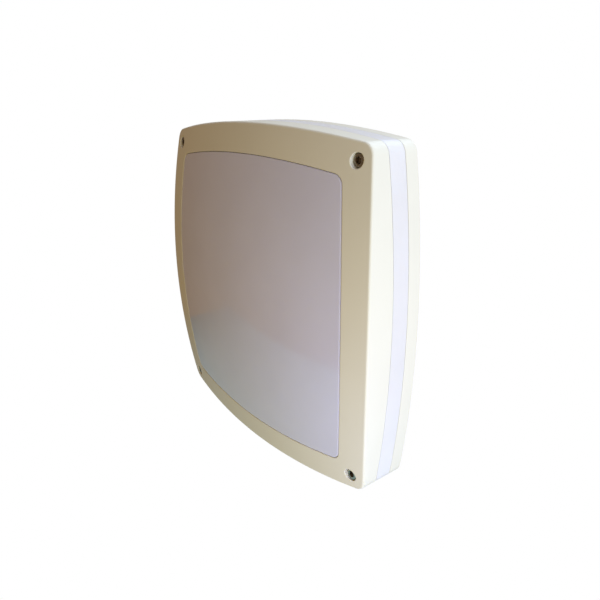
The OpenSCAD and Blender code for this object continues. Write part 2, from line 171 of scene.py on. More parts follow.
def dome_normal(points, off=0.0):
    outward = np.column_stack([points, dome(points, off) - (DOME_H - DOME_R)])
    return outward / np.linalg.norm(outward, axis=1, keepdims=True)


def level(depth):
    """Flat surface, in the form that Skin.patch takes."""
    return lambda points: np.full(len(points), float(depth))


def at_depth(points, depth):
    return np.column_stack([points, np.broadcast_to(depth, len(points))])


def on_dome(points, off=0.0):
    return np.column_stack([points, dome(points, off)])


def level_rings(line, profile):
    """Level rings along a line, one for each pair of an inset (or radius) and a depth."""
    return [at_depth(line(size)[0], depth) for size, depth in profile]


def dome_rings(line, profile):
    """Rings along a line that follow the dome, one for each pair of an inset and an offset."""
    return [on_dome(line(size)[0], off) for size, off in profile]


def arc(centres, start, end, radius, steps):
    """Rings that roll round centres from the direction start to the direction end."""
    start = np.broadcast_to(np.asarray(start, float), centres.shape)
    end = np.broadcast_to(np.asarray(end, float), centres.shape)
    angle = np.arccos(np.clip((start * end).sum(1), -1, 1))[:, None]
    rings = []
    for step in range(steps + 1):
        share = step / steps
        mixed = np.sin((1 - share) * angle) * start + np.sin(share * angle) * end
        rings.append(centres + radius * (mixed / np.sin(angle)))
    return rings


def sideways(normals):
    return np.column_stack([normals, np.zeros(len(normals))])


def dome_edge(line, off, radius, steps, side=1, rising=False):
    """Rounding between the dome, grown by off, and a wall that faces out (side 1) or in (-1).

    It runs from the dome down to the wall, or up from the wall if it is rising.
    """
    centres, normals = line
    ends = [dome_normal(centres, off - radius), side * sideways(normals)]
    if rising:
        ends.reverse()
    return arc(on_dome(centres, off - radius), *ends, radius, steps)


def low_edge(line, low, radius, steps, side=1, rising=True):
    """Rounding between a level underside at the depth low and a wall, much as dome_edge.

    It runs from the underside up to the wall, or down from the wall if it isn't rising.
    """
    centres, normals = line
    down = np.array([0, 0, -1.0])
    ends = [down, side * sideways(normals)]
    if not rising:
        ends.reverse()
    return arc(at_depth(centres, low + radius), *ends, radius, steps)


def inside(points, loop):
    """Whether each point lies inside a closed loop."""
    x, y = points[:, 0][:, None], points[:, 1][:, None]
    x1, y1 = loop[:, 0], loop[:, 1]
    x2, y2 = np.roll(x1, -1), np.roll(y1, -1)
    crosses = (y1 > y) != (y2 > y)
    # a level stretch never crosses, so any rise but zero will do for it
    rise = np.where(y2 == y1, 1e-12, y2 - y1)
    hit = crosses & (x < (x2 - x1) * (y - y1) / rise + x1)
    return hit.sum(1) % 2 == 1


def between(points, loops):
    """Whether each point lies inside the first loop and outside the others."""
    keep = inside(points, loops[0])
    for hole in loops[1:]:
        keep &= ~inside(points, hole)
    return keep


def grid_between(loops, step):
    """Points of an even triangular grid between the loops, none of them close to a loop."""
    # rows of equal triangles are this far apart
    row_step = 0.866 * step
    clear = 0.55 * step
    low, high = loops[0].min(0), loops[0].max(0)
    grid = np.array(
        [
            (x, y)
            for row, y in enumerate(np.arange(low[1] + step / 2, high[1], row_step))
            for x in np.arange(low[0] + step / 4 + (row % 2) * step / 2, high[0], step)
        ]
    )
    grid = grid[between(grid, loops)]
    distance = np.linalg.norm(grid[:, None] - np.concatenate(loops)[None], axis=2)
    return grid[distance.min(axis=1) > clear]


class Skin:
    """A closed mesh, in millimetres, that is built from rings and flat or domed patches."""

    # points no further apart than this are one point: in the finished mesh, and in a patch
    SAME_POINT_M = 1e-7
    SAME_POINT_MM = 1e-6

    def __init__(self):
        self.points, self.faces, self.slots = [], [], []

    def ring(self, points):
        """Adds a loop of points and returns their numbers."""
        first = len(self.points)
        self.points.extend(map(tuple, points))
        return list(range(first, first + len(points)))

    def add_face(self, corners, slot):
        self.faces.append(tuple(corners))
        self.slots.append(slot)

    def loft(self, rings, slot=0, start=None):
        """Joins rings of points, and returns the first and last loop."""
        loops = [start] if start is not None else []
        loops += [self.ring(points) for points in rings]
        for one, other in zip(loops, loops[1:]):
            for i in range(len(one)):
                j = (i + 1) % len(one)
                self.add_face((one[i], one[j], other[j], other[i]), slot)
        return loops[0], loops[-1]

    def fan(self, loop, tip, slot=0):
        """Closes a loop with triangles that meet at the tip."""
        self.points.append(tuple(tip))
        for i in range(len(loop)):
            self.add_face((loop[i], loop[(i + 1) % len(loop)], len(self.points) - 1), slot)

    def patch(self, outer, inners, depth, step, slot=0):
        """Fills the area between a loop and the loops inside it, on the surface depth(points)."""
        known = [i for loop in (outer, *inners) for i in loop]
        loops = [np.array([self.points[i][:2] for i in loop]) for loop in (outer, *inners)]
        grid = grid_between(loops, step)
        edges = []
        first = 0
        for loop in loops:
            count = len(loop)
            edges += [(first + i, first + (i + 1) % count) for i in range(count)]
            first += count
        verts, _, faces, origins, _, _ = delaunay_2d_cdt(
            [Vector(point) for point in np.concatenate([*loops, grid])],
            edges,
            [],
            0,
            self.SAME_POINT_MM,
        )
        known += self.ring(np.column_stack([grid, depth(grid)]))
        if not all(origins):
            raise ValueError("a patch's loops cross each other")
        numbers = [known[min(sources)] for sources in origins]
        middles = np.array([np.mean([verts[i][:] for i in face], axis=0) for face in faces])
        for face, wanted in zip(faces, between(middles, loops)):
            if wanted:
                self.add_face((numbers[i] for i in face), slot)

    def build(self, name, body, materials, crease=35.0):
        """Makes the piece, which shades smoothly over edges of less than crease degrees."""
        mesh = bpy.data.meshes.new(name)
        mesh.from_pydata([to_metres(point) for point in self.points], [], self.faces)
        for material in materials:
            mesh.materials.append(material)
        mesh.polygons.foreach_set("material_index", self.slots)
        bm = bmesh.new()
        bm.from_mesh(mesh)
        bmesh.ops.remove_doubles(bm, verts=bm.verts, dist=self.SAME_POINT_M)
        bmesh.ops.recalc_face_normals(bm, faces=bm.faces)
        open_edges = 0
        for edge in bm.edges:
            closed = len(edge.link_faces) == 2
            open_edges += not closed
            edge.smooth = closed and edge.calc_face_angle(0) <= math.radians(crease)
        for face in bm.faces:
            face.smooth = True
        bm.to_mesh(mesh)
        bm.free()
        if open_edges:
            print(f"{name}: {open_edges} open edges")
        piece = bpy.data.objects.new(name, mesh)
        bpy.context.scene.collection.objects.link(piece)
        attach(piece, body)
        return piece


# ---------------------------------------------------------------- materials


def shade(color, share):
    return tuple(min(1.0, channel * share) for channel in color)


def set_inputs(node, **values):
    """Sets a node's inputs; an underscore in a name stands for a space."""
    for name, value in values.items():
        node.inputs[name.replace("_", " ")].default_value = value


class Look:
    """A Principled material whose colour, roughness and bump come from nodes in object space."""

    def __init__(self, name, color, rough, metallic=0.0, **sockets):
        self.material = bpy.data.materials.new(name)
        self.material.use_nodes = True
        self.material.diffuse_color = (*color, 1)
        self.tree = self.material.node_tree
        self.shader = self.tree.nodes["Principled BSDF"]
        set_inputs(self.shader, Base_Color=(*color, 1), Roughness=rough, Metallic=metallic)
        set_inputs(self.shader, **sockets)
        self.base = color
        self.place = self.node("ShaderNodeTexCoord").outputs["Object"]
        self.normal = None

    def node(self, kind, **inputs):
        made = self.tree.nodes.new(kind)
        set_inputs(made, **inputs)
        return made

    def link(self, output, socket):
        self.tree.links.new(output, socket)

    def noise(self, scale, detail, rough):
        made = self.node("ShaderNodeTexNoise", Scale=scale, Detail=detail, Roughness=rough)
        self.link(self.place, made.inputs["Vector"])
        return made.outputs["Fac"]

    def split(self, vector):
        made = self.node("ShaderNodeSeparateXYZ")
        self.link(vector, made.inputs[0])
        return made.outputs

    def math(self, operation, *values):
        made = self.node("ShaderNodeMath")
        made.operation = operation
        for socket, value in zip(made.inputs, values):
            if isinstance(value, (int, float)):
                socket.default_value = value
            else:
                self.link(value, socket)
        return made.outputs[0]

    def colors(self, value, *stops):
        """Colours the surface by a value, with a stop for each pair of a value and a colour."""
        made = self.node("ShaderNodeValToRGB")
        ramp = made.color_ramp
        while len(ramp.elements) < len(stops):
            ramp.elements.new(0.5)
        for element, (position, color) in zip(ramp.elements, stops):
            element.position = position
            element.color = (*color, 1)
        self.link(value, made.inputs["Fac"])
        self.link(made.outputs["Color"], self.shader.inputs["Base Color"])

    def tones(self, value, *stops):
        """Darkens or lightens the base colour by a value."""
        self.colors(value, *((position, shade(self.base, share)) for position, share in stops))

    def vary_rough(self, value, low, high):
        made = self.node("ShaderNodeMapRange", To_Min=low, To_Max=high)
        self.link(value, made.inputs["Value"])
        self.link(made.outputs["Result"], self.shader.inputs["Roughness"])

    def bump(self, value, strength, height):
        """Adds a bump of the given height, in metres, on top of any earlier one."""
        made = self.node("ShaderNodeBump", Strength=strength, Distance=height)
        self.link(value, made.inputs["Height"])
        if self.normal is not None:
            self.link(self.normal, made.inputs["Normal"])
        self.normal = made.outputs["Normal"]
        self.link(self.normal, self.shader.inputs["Normal"])


def paint(name, color, rough=(0.38, 0.5), grain=900, height=0.00007):
    """Powder coat: fine orange peel, a little tone drift and faint handling marks."""
    look = Look(name, color, 0.44, Specular_IOR_Level=0.45)
    drift = look.noise(scale=9, detail=4, rough=0.55)
    look.tones(drift, (0.30, 0.965), (0.52, 1.0), (0.75, 1.02))
    handling = look.noise(scale=28, detail=5, rough=0.6)
    look.vary_rough(handling, *rough)
    peel = look.noise(scale=grain, detail=2, rough=0.5)
    look.bump(peel, strength=0.35, height=height)
    waves = look.noise(scale=grain * 0.22, detail=1, rough=0.4)
    look.bump(waves, strength=0.18, height=height * 3)
    return look.material


def moulded(look, low, high):
    """Adds the faint uneven gloss and fine grain of a moulded or extruded plastic."""
    look.vary_rough(look.noise(scale=160, detail=3, rough=0.5), low, high)
    look.bump(look.noise(scale=1400, detail=2, rough=0.5), strength=0.3, height=0.00002)
    return look.material


def plastic(name, color, rough):
    look = Look(name, color, rough)
    clouds = look.noise(scale=40, detail=3, rough=0.5)
    look.tones(clouds, (0.3, 0.93), (0.7, 1.04))
    return moulded(look, rough * 0.85, rough * 1.15)


def metal(name, color, rough, grain=600, height=0.00001):
    look = Look(name, color, rough, metallic=1.0)
    stains = look.noise(scale=120, detail=4, rough=0.6)
    look.tones(stains, (0.3, 0.78), (0.7, 1.1))
    rubbed = look.noise(scale=300, detail=4, rough=0.65)
    look.vary_rough(rubbed, rough * 0.7, rough * 1.4)
    look.bump(look.noise(scale=grain, detail=3, rough=0.6), strength=0.35, height=height)
    return look.material


def opal(name, color, rough, height):
    """Milky plastic that scatters light below its surface."""
    look = Look(
        name,
        color,
        rough,
        IOR=1.58,
        Subsurface_Weight=0.35,
        Subsurface_Scale=0.004,
        Subsurface_Radius=(1.0, 0.9, 0.8),
    )
    haze = look.noise(scale=14, detail=3, rough=0.5)
    look.tones(haze, (0.3, 0.97), (0.7, 1.02))
    wiped = look.noise(scale=22, detail=4, rough=0.6)
    look.vary_rough(wiped, rough * 0.8, rough * 1.25)
    look.bump(look.noise(scale=700, detail=2, rough=0.5), strength=0.25, height=height)
    return look.material


CREAM = (0.80, 0.755, 0.61)
bezel_paint = paint("bezel_powder_coat", CREAM)
housing_paint = paint("housing_powder_coat", CREAM)
bare_casting = metal("machined_aluminium", (0.66, 0.65, 0.62), 0.42)
# The diffuser is one moulding. Its front is drawn darker than the band and the inside, which is painted
# shade, and the front's bluer tint is a painted reflection.
opal_front_shaded = opal("opal_front_shaded", (0.695, 0.682, 0.82), 0.09, 0.000003)
opal_band = opal("opal_band", (0.765, 0.73, 0.685), 0.42, 0.00002)
opal_inside = opal("opal_inside", (0.80, 0.80, 0.82), 0.35, 0.00001)

# ---------------------------------------------------------------- front bezel

WALL = 3.0
# radii of the outer edge, the foot's inner edge, and the fillets on the underside
EDGE, FOOT_EDGE, FILLET = 2.0, 0.3, 1.0
# the window's lip: radius of its edge, width, depth of its back below the face, and chamfer there
LIP_EDGE, LIP, LIP_OFF, LIP_CHAMFER = 0.7, 2.0, -7.0, 0.4
# radii of a counterbore, its edge and the screw's clearance, and of the boss and its edges
HOLE_R, HOLE_EDGE, CLEAR_R = 5.5, 0.7, 3.3
BOSS_R, BOSS_EDGE, BOSS_FILLET = 7.8, 0.5, 0.8


def bezel_side(skin):
    """Outer wall, foot and inner wall, between the face and the underside."""
    face = skin.ring(on_dome(body_line(EDGE + STRIP)[0]))
    rings = dome_edge(body_line(EDGE), 0, EDGE, steps=7)
    wall_top = rings[-1][:, DEPTH]
    rings.append(at_depth(body_line(0)[0], wall_top - 1.2 * STRIP))
    rings.append(at_depth(body_line(0)[0], BEZEL_LOW + SEAM_EDGE + STRIP))
    rings += low_edge(body_line(SEAM_EDGE), BEZEL_LOW, SEAM_EDGE, steps=3, rising=False)
    rings += low_edge(body_line(WALL - FOOT_EDGE), BEZEL_LOW, FOOT_EDGE, steps=2, side=-1)
    rings += dome_edge(body_line(WALL + FILLET), -WALL, FILLET, steps=5, rising=True)
    rings.append(on_dome(body_line(WALL + FILLET + 0.6 * STRIP)[0], -WALL))
    _, under = skin.loft(rings, start=face)
    return face, under


def bezel_window(skin):
    """The window's lip and its back, between the face and the underside."""
    face = skin.ring(on_dome(window_line(-LIP_EDGE - STRIP)[0]))
    rings = dome_edge(window_line(-LIP_EDGE), 0, LIP_EDGE, steps=5, side=-1)
    lip_back = (
        (0, LIP_OFF + LIP_CHAMFER),
        (-LIP_CHAMFER, LIP_OFF),
        (LIP_CHAMFER - LIP, LIP_OFF),
        (-LIP, LIP_OFF + LIP_CHAMFER),
    )
    rings += dome_rings(window_line, lip_back)
    fillet_line = window_line(-LIP - FILLET)
    rings += dome_edge(fillet_line, -WALL, FILLET, steps=4, side=-1, rising=True)
    rings.append(on_dome(window_line(-LIP - FILLET - 0.8 * STRIP)[0], -WALL))
    _, under = skin.loft(rings, start=face)
    return face, under


def bezel_hole(skin, at):
    """Counterbore, clearance hole and boss of a screw, between the face and the underside."""
    around = partial(circle, at)
    mid = MIDWAY * BOSS_EDGE
    face = skin.ring(on_dome(around(HOLE_R + HOLE_EDGE + 0.8 * STRIP)[0]))
    rings = dome_edge(around(HOLE_R + HOLE_EDGE), 0, HOLE_EDGE, steps=5, side=-1)
    profile = (
        (HOLE_R, HEAD_SEAT + CHAMFER),
        (HOLE_R - CHAMFER, HEAD_SEAT),
        (CLEAR_R + CHAMFER, HEAD_SEAT),
        (CLEAR_R, HEAD_SEAT - CHAMFER),
        (CLEAR_R, JOINT_HIGH + CHAMFER),
        (CLEAR_R + CHAMFER, JOINT_HIGH),
        (BOSS_R - BOSS_EDGE, JOINT_HIGH),
        (BOSS_R - mid, JOINT_HIGH + mid),
        (BOSS_R, JOINT_HIGH + BOSS_EDGE),
    )
    rings += level_rings(around, profile)
    fillet_line = around(BOSS_R + BOSS_FILLET)
    rings += dome_edge(fillet_line, -WALL, BOSS_FILLET, steps=4, side=-1, rising=True)
    rings.append(on_dome(around(BOSS_R + BOSS_FILLET + 0.6 * STRIP)[0], -WALL))
    _, under = skin.loft(rings, start=face)
    return face, under


def make_bezel():
    skin = Skin()
    face, under = bezel_side(skin)
    openings = [bezel_window(skin), *(bezel_hole(skin, at) for at in SCREWS)]
    face_openings, under_openings = zip(*openings)
    skin.patch(face, face_openings, dome, step=6.0)
    skin.patch(under, under_openings, partial(dome, off=-WALL), step=9.0)
    return skin.build("bezel_casting", "cover", [bezel_paint])


bezel = make_bezel()
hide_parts("front_bezel")

# ---------------------------------------------------------------- opal diffuser

# thickness of the front and of the band, and depth of the ledge's underside
OPAL_T, BAND_T, LEDGE_LOW = 2.5, 3.5, 26.35
# the tongue in the housing's groove: inset of its outer face, and depth of its end
TONGUE_IN, TONGUE_LOW = 1.5, 11.2
# the rib that stands in the bezel: insets of both its faces, and its height above the ledge
RIB_OUT, RIB_IN, RIB_HIGH = 3.3, 5.3, 3.0
# gap between the front and the window's lip
GAP = 0.35
# offset from the dome of the front's edge, which dips just under the bezel's lip
EDGE_OFF = -0.1
FRONT_EDGE = 1.0
# fillets: band to ledge, ledge to the window's wall, and that wall to the back of the front
BAND_FILLET, ROOT_FILLET, INNER_FILLET = 1.5, 1.5, 1.5
# radius of the inner edge under the ledge
INNER_EDGE = 0.8
# material slots
FRONT, BAND, INSIDE = 0, 1, 2


def diffuser_band(skin):
    """The band round the side, with its tongue and rib; returns the ledge's outer loops."""
    seam_mid = MIDWAY * SEAM_EDGE
    fillet_mid = MIDWAY * BAND_FILLET
    rib_top = JOINT_HIGH + RIB_HIGH
    outside = (
        (TONGUE_IN + CHAMFER, TONGUE_LOW),
        (TONGUE_IN, TONGUE_LOW + CHAMFER),
        (TONGUE_IN, JOINT_LOW),
        (SEAM_EDGE, JOINT_LOW),
        (seam_mid, JOINT_LOW + seam_mid),
        (0, JOINT_LOW + SEAM_EDGE),
        (0, JOINT_LOW + SEAM_EDGE + STRIP),
        (0, JOINT_HIGH - SEAM_EDGE - STRIP),
        (0, JOINT_HIGH - SEAM_EDGE),
        (seam_mid, JOINT_HIGH - seam_mid),
        (SEAM_EDGE, JOINT_HIGH),
        (RIB_OUT, JOINT_HIGH),
        (RIB_OUT, rib_top - CHAMFER),
        (RIB_OUT + CHAMFER, rib_top),
        (RIB_IN - CHAMFER, rib_top),
        (RIB_IN, rib_top - CHAMFER),
        (RIB_IN, JOINT_HIGH),
        (RIB_IN + STRIP, JOINT_HIGH),
    )
    inside_band = (
        (BAND_T - CHAMFER, TONGUE_LOW),
        (BAND_T, TONGUE_LOW + CHAMFER),
        (BAND_T, LEDGE_LOW - BAND_FILLET),
        (BAND_T + fillet_mid, LEDGE_LOW - fillet_mid),
        (BAND_T + BAND_FILLET, LEDGE_LOW),
        (BAND_T + BAND_FILLET + STRIP, LEDGE_LOW),
    )
    tongue, ledge_top = skin.loft(level_rings(body_line, outside), BAND)
    _, ledge_low = skin.loft(level_rings(body_line, inside_band), INSIDE, start=tongue)
    return ledge_top, ledge_low


def diffuser_front(skin, shrink):
    """The window's wall and the domed front; returns the wall's foot on the ledge."""
    rings = [at_depth(window_line(GAP - ROOT_FILLET - STRIP)[0], JOINT_HIGH)]
    root_line = window_line(GAP - ROOT_FILLET)
    rings += low_edge(root_line, JOINT_HIGH, ROOT_FILLET, steps=4, side=-1)
    edge_line = window_line(GAP + FRONT_EDGE)
    edge = dome_edge(edge_line, EDGE_OFF, FRONT_EDGE, steps=6, rising=True)
    rings.append(at_depth(window_line(GAP)[0], edge[0][:, DEPTH] - STRIP))
    rings += edge
    foot, rim = skin.loft(rings, FRONT)
    rise = PROUD - EDGE_OFF
    front = [on_dome(edge_line[0] * share, EDGE_OFF + rise * (1 - share**2)) for share in shrink]
    _, last = skin.loft(front, FRONT, start=rim)
    skin.fan(last, (0, 0, DOME_H + PROUD), FRONT)
    return foot


def diffuser_inside(skin, shrink):
    """The inside of the window's wall and front; returns the wall's edge under the ledge."""
    off = PROUD - OPAL_T
    wall = GAP + OPAL_T
    rings = [at_depth(window_line(wall - INNER_EDGE - STRIP)[0], LEDGE_LOW)]
    rings += low_edge(window_line(wall - INNER_EDGE), LEDGE_LOW, INNER_EDGE, steps=3, side=-1)
    fillet_line = window_line(wall + INNER_FILLET)
    rings += dome_edge(fillet_line, off, INNER_FILLET, steps=4, rising=True)
    foot, rim = skin.loft(rings, INSIDE)
    back = [on_dome(fillet_line[0] * share, off) for share in shrink]
    _, last = skin.loft(back, INSIDE, start=rim)
    skin.fan(last, (0, 0, DOME_H + off), INSIDE)
    return foot


def make_diffuser():
    skin = Skin()
    # after a narrow strip, both faces of the front are rings that shrink evenly to the last one
    last_ring, ring_count = 0.02, 34
    shrink = [1 - STRIP / WIN_HALF, *np.linspace(1, last_ring, ring_count)[1:]]
    ledge_top, ledge_low = diffuser_band(skin)
    wall_top = diffuser_front(skin, shrink)
    wall_low = diffuser_inside(skin, shrink)
    hole = (
        (CLEAR_R + FINE_CHAMFER, JOINT_HIGH),
        (CLEAR_R, JOINT_HIGH - FINE_CHAMFER),
        (CLEAR_R, LEDGE_LOW + FINE_CHAMFER),
        (CLEAR_R + FINE_CHAMFER, LEDGE_LOW),
    )
    holes = [skin.loft(level_rings(partial(circle, at), hole), INSIDE) for at in SCREWS]
    tops, lows = zip(*holes)
    skin.patch(ledge_top, [wall_top, *tops], level(JOINT_HIGH), step=9.0, slot=INSIDE)
    skin.patch(ledge_low, [wall_low, *lows], level(LEDGE_LOW), step=9.0, slot=INSIDE)
    return skin.build("opal_diffuser", "cover", [opal_front_shaded, opal_band, opal_inside])


diffuser = make_diffuser()
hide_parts("diffuser")

# ---------------------------------------------------------------- rear housing

# thickness of the back, and radius of its outer edge
BACK, BACK_EDGE = 3.0, 0.9
# inset of the rim's inner face, its chamfer, and the fillet at the floor
RIM_IN, RIM_CHAMFER, FLOOR_FILLET = 5.6, 0.4, 1.0
# the groove for the tongue and its gasket: insets of both faces, depth of its floor, chamfer
GROOVE_OUT, GROOVE_IN, GROOVE_LOW, GROOVE_CHAMFER = 1.2, 4.0, 9.1, 0.2
# material slots
PAINTED, MACHINED = 0, 1
# The posts are, in order: pillars for the bezel screws, posts under the gear tray, bosses round
# the wall screws, posts for the cable clamp, posts for the driver, and the earth post.
# hole_low is None where the hole goes right through; fillet is the one at the post's foot.
Post = namedtuple("Post", "places radius top hole_r hole_low fillet finish")
POSTS = (
    Post(SCREWS, 6.0, 24.55, 3.0, 8.0, 0.4, MACHINED),
    Post(four_places(92.5, 92.5), 4.5, 22.0, 2.0, BACK, 0.8, MACHINED),
    Post(four_places(115, 60), 8.0, 5.0, 2.75, None, 0.8, PAINTED),
    Post([(15, -51), (15, -73)], 3.5, 11.0, 1.5, BACK, 0.8, MACHINED),
    Post([(-64.5, 28), (64.5, 28)], 3.5, 6.0, 1.5, 2.0, 0.6, MACHINED),
    Post([(-80, -35)], 5.0, 6.0, 2.0, 2.0, 0.6, MACHINED),
)
# the cable entry: radius and depth of the grommet's seat from inside, the hole, and from behind
GROMMET = (45, -62)
GROMMET_SEAT = (
    (11.9, BACK),
    (11.5, BACK + 0.4),
    (11.3, BACK + 0.6),
    (8.2, BACK + 0.6),
    (8.0, BACK + 0.4),
    (8.0, 1.0),
    (10.8, 1.0),
    (10.8, 0.2),
    (11.0, 0),
)


def housing_post(skin, post, at):
    """Round post with a hole; returns its foot and, if the hole goes through, its far end."""
    around = partial(circle, at)
    mid = MIDWAY * post.fillet
    outside = (
        (post.radius + post.fillet, BACK),
        (post.radius + mid, BACK + mid),
        (post.radius, BACK + post.fillet),
        (post.radius, post.top - FINE_CHAMFER),
        (post.radius - FINE_CHAMFER, post.top),
    )
    foot, edge = skin.loft(level_rings(around, outside))
    hole = [(post.hole_r + FINE_CHAMFER, post.top), (post.hole_r, post.top - FINE_CHAMFER)]
    through = post.hole_low is None
    if through:
        hole += [(post.hole_r, CHAMFER), (post.hole_r + CHAMFER, 0)]
    else:
        hole.append((post.hole_r, post.hole_low))
    _, end = skin.loft(level_rings(around, hole), post.finish, start=edge)
    if not through:
        skin.add_face(end, post.finish)
    return foot, end if through else None


def make_housing():
    skin = Skin()
    back = skin.ring(at_depth(body_line(BACK_EDGE + STRIP)[0], 0))
    rings = low_edge(body_line(BACK_EDGE), 0, BACK_EDGE, steps=5)
    seam_mid = MIDWAY * SEAM_EDGE
    fillet_mid = MIDWAY * FLOOR_FILLET
    profile = (
        (0, BACK_EDGE + STRIP),
        (0, RIM - 2 * STRIP),
        (0, RIM - SEAM_EDGE),
        (seam_mid, RIM - seam_mid),
        (SEAM_EDGE, RIM),
        (GROOVE_OUT - GROOVE_CHAMFER, RIM),
        (GROOVE_OUT, RIM - GROOVE_CHAMFER),
        (GROOVE_OUT, GROOVE_LOW),
        (GROOVE_IN, GROOVE_LOW),
        (GROOVE_IN, RIM - GROOVE_CHAMFER),
        (GROOVE_IN + GROOVE_CHAMFER, RIM),
        (RIM_IN - RIM_CHAMFER, RIM),
        (RIM_IN, RIM - RIM_CHAMFER),
        (RIM_IN, BACK + FLOOR_FILLET),
        (RIM_IN + fillet_mid, BACK + fillet_mid),
        (RIM_IN + FLOOR_FILLET, BACK),
    )
    _, floor = skin.loft(rings + level_rings(body_line, profile), start=back)
    openings = [housing_post(skin, post, at) for post in POSTS for at in post.places]
    openings.append(skin.loft(level_rings(partial(circle, GROMMET), GROMMET_SEAT)))
    floor_openings, back_openings = zip(*openings)
    skin.patch(floor, floor_openings, level(BACK), step=10.0)
    skin.patch(back, [loop for loop in back_openings if loop], level(0), step=12.0)
    return skin.build("housing_casting", "base", [housing_paint, bare_casting])


housing = make_housing()
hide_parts("rear_housing")

# ---------------------------------------------------------------- bezel screws

# The screw steel's dark bronze tint is a painted reflection of warm, dim surroundings in the stainless
# heads.
screw_steel = metal("screw_steel", (0.30, 0.27, 0.21), 0.24, 900, 0.000012)
# The socket's material is a lighter, rougher copy of the screw steel: painted light in the recess.
socket_lightened = metal("socket_painted_light", (0.36, 0.31, 0.24), 0.5)

# radius of the shank, and depth and pitch of its thread
SHANK_R, THREAD_DEEP, PITCH = 2.93, 0.5, 1.0
# depths of the tip and of both ends of the thread
TIP, THREAD_LOW, THREAD_HIGH = 14.5, 15.0, 33.0
# how much narrower the tip is, and the length over which it tapers
TAPER, TAPER_LENGTH = 0.25, 1.2
HEAD_R = 4.95
# the hexagon socket: half its width across flats, its depth, and the radius of its round mouth
SOCKET_HALF, SOCKET_DEEP, MOUTH_R = 2.5, 3.0, 2.95
# the head's underside clears its seat by this much, so that it turns freely
HEAD_CLEAR = 0.04
# material slots
STEEL, SOCKET_LIT = 0, 1


def make_screw(index, at):
    skin = Skin()
    steps = 48
    way = directions(steps)
    angles = np.linspace(0, 2 * math.pi, steps, endpoint=False)
    top = HEAD_SEAT + HEAD_HIGH
    under_head = HEAD_SEAT + HEAD_CLEAR
    # the hexagon is sampled at the circles' angles, so that they can be joined
    sector = (angles + math.pi / 6) % (math.pi / 3) - math.pi / 6
    hexagon = SOCKET_HALF / np.cos(sector)

    def ring(radius, depth):
        """Ring whose radius is one number or one for each angle."""
        return at_depth(np.array(at) + np.reshape(radius, (-1, 1)) * way, depth)

    def thread_ring(depth):
        """Slice of the thread, which fades in and out over a pitch above a tapered tip."""
        phase = (depth / PITCH + angles / (2 * math.pi)) % 1.0
        wave = np.abs(phase - 0.5) * 2
        fade_out = THREAD_HIGH - depth + 0.02
        grown = max(0.0, min(1.0, depth - THREAD_LOW, fade_out))
        taper = TAPER * (1 - min(1, (depth - THREAD_LOW + 0.2) / TAPER_LENGTH))
        return ring(SHANK_R - THREAD_DEEP * (1 - wave) * grown - taper, depth)

    outside = [ring(2.0, TIP), ring(2.35, THREAD_LOW)]
    outside += [thread_ring(depth) for depth in np.arange(THREAD_LOW, THREAD_HIGH, PITCH / 6)]
    outside += [
        # plain end of the shank and underside of the head
        ring(SHANK_R, THREAD_HIGH + 0.2),
        ring(SHANK_R, under_head - 0.25),
        ring(SHANK_R + 0.17, under_head),
        ring(HEAD_R - 0.2, under_head),
        ring(HEAD_R, under_head + 0.2),
        # rounded edge and flat top of the head
        ring(HEAD_R, top - 0.75),
        ring(HEAD_R - 0.05, top - 0.5),
        ring(HEAD_R - 0.35, top - 0.15),
        ring(HEAD_R - 0.65, top),
        ring(HEAD_R - 0.95, top),
        # the socket's mouth, which goes from round to hexagonal
        ring(MOUTH_R + 0.1, top),
        ring(0.4 * MOUTH_R + 0.6 * hexagon * 1.05, top - 0.12),
        ring(hexagon, top - 0.45),
        ring(hexagon, top - 0.7),
    ]
    tip, edge = skin.loft(outside, STEEL)
    # The socket's walls and floor take the lighter copy of the steel, which is painted light in the
    # recess.
    socket = [ring(hexagon, top - SOCKET_DEEP + 0.1), ring(hexagon * 0.92, top - SOCKET_DEEP)]
    _, bottom = skin.loft(socket, SOCKET_LIT, start=edge)
    drill_point = (*at, top - SOCKET_DEEP - 0.35)
    skin.fan(bottom, drill_point, SOCKET_LIT)
    skin.add_face(tip, STEEL)
    screw = skin.build(
        f"socket_screw_{index}", f"screw_{index}", [screw_steel, socket_lightened], crease=28.0
    )
    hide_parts(f"bezel_screw_{index}")


for index, at in enumerate(SCREWS, 1):
    make_screw(index, at)

# ---------------------------------------------------------------- LEDs

LED_COUNT, LED_PITCH = 8, 20.0
LED_SIZE = (3.5, 2.8)
# radii of the well in a package, of its floor and of the phosphor, which is domed a little
WELL_R, WELL_FLOOR_R, PHOSPHOR_R = 1.2, 1.1, 0.6
# depths below the package's top of the well's floor and of the phosphor's edge and middle
WELL_DEEP, PHOSPHOR_DEEP, MIDDLE_DEEP = 0.12, 0.06, 0.03
# material slots
PACKAGE, PHOSPHOR = 0, 1


